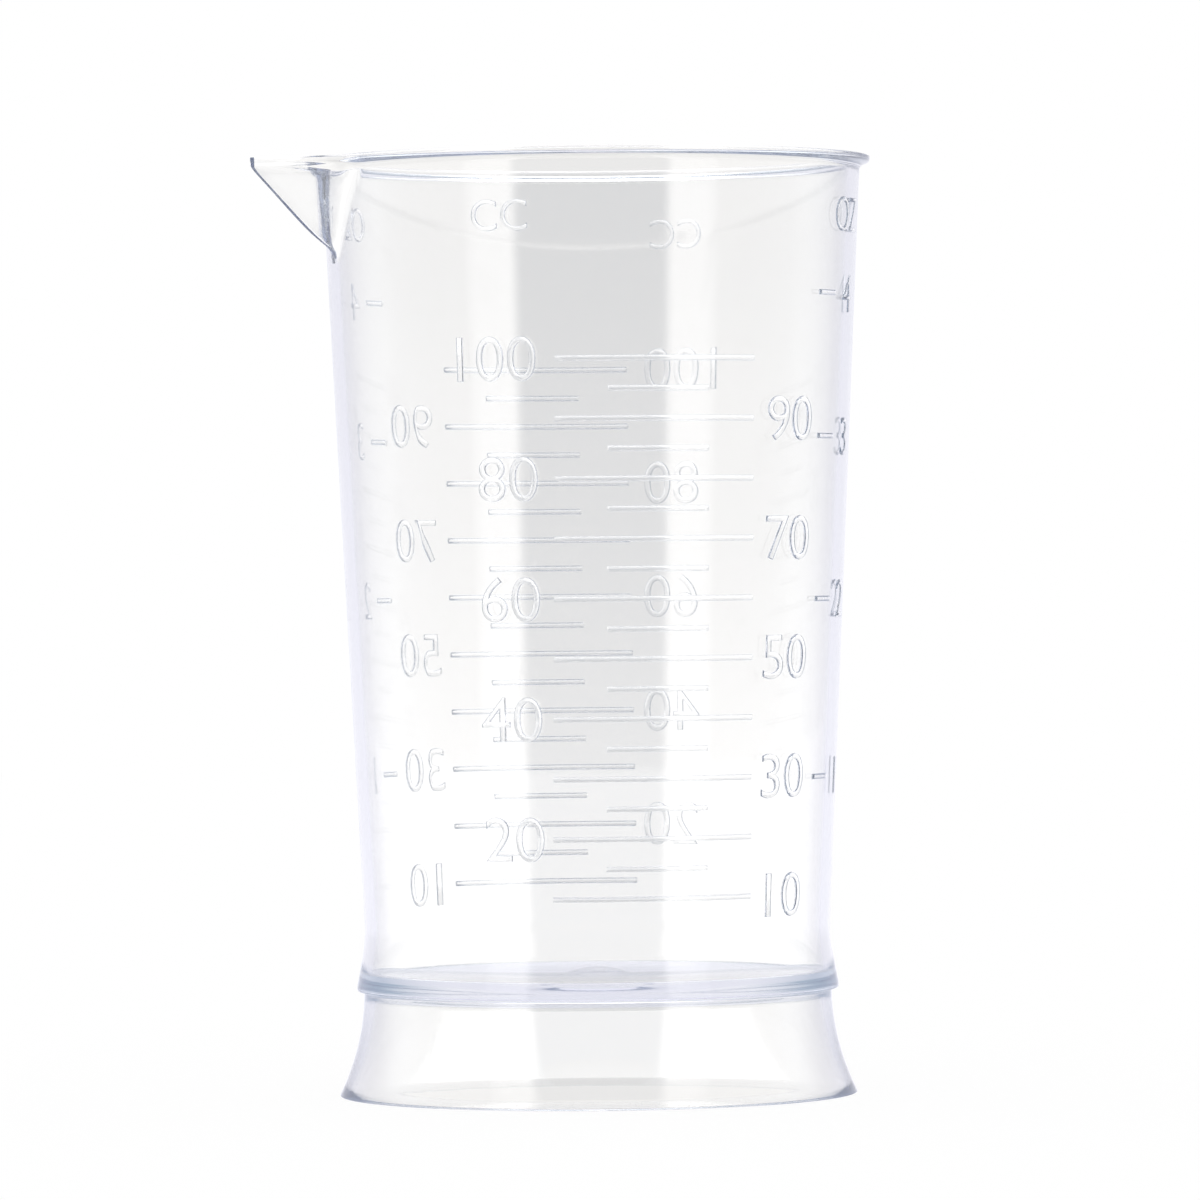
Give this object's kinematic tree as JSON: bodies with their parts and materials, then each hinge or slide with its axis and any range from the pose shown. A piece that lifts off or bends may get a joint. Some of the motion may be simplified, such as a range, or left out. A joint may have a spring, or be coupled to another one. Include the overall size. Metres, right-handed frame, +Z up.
{
  "type": "measuring cup",
  "caption": "Clear plastic measuring cup: tapered round wall with raised volume lines, V-shaped pouring spout, rolled lip and flared hollow foot.",
  "frame": {"origin": "on the standing plane, under the middle of the bounding box", "axes": "+Z up along the cup's axis, -X towards the pouring spout, -Y towards the main scale, whose copy faces +Y. The cup's own axis stands 3.4 mm along +X from the origin"},
  "size_m": [0.0618, 0.055, 0.092],
  "materials": {
    "wall_plastic": "clear, glossy",
    "lip_plastic": "clear, glossy",
    "spout_plastic": "clear, glossy",
    "floor_plastic": "clear, glossy",
    "foot_plastic": "clear, glossy"
  },
  "bodies": {
    "root": {"cup_wall": "wall_plastic", "mouth_lip": "lip_plastic", "pour_spout": "spout_plastic", "floor_disc": "floor_plastic", "foot_skirt": "foot_plastic"}
  },
  "joints": []
}
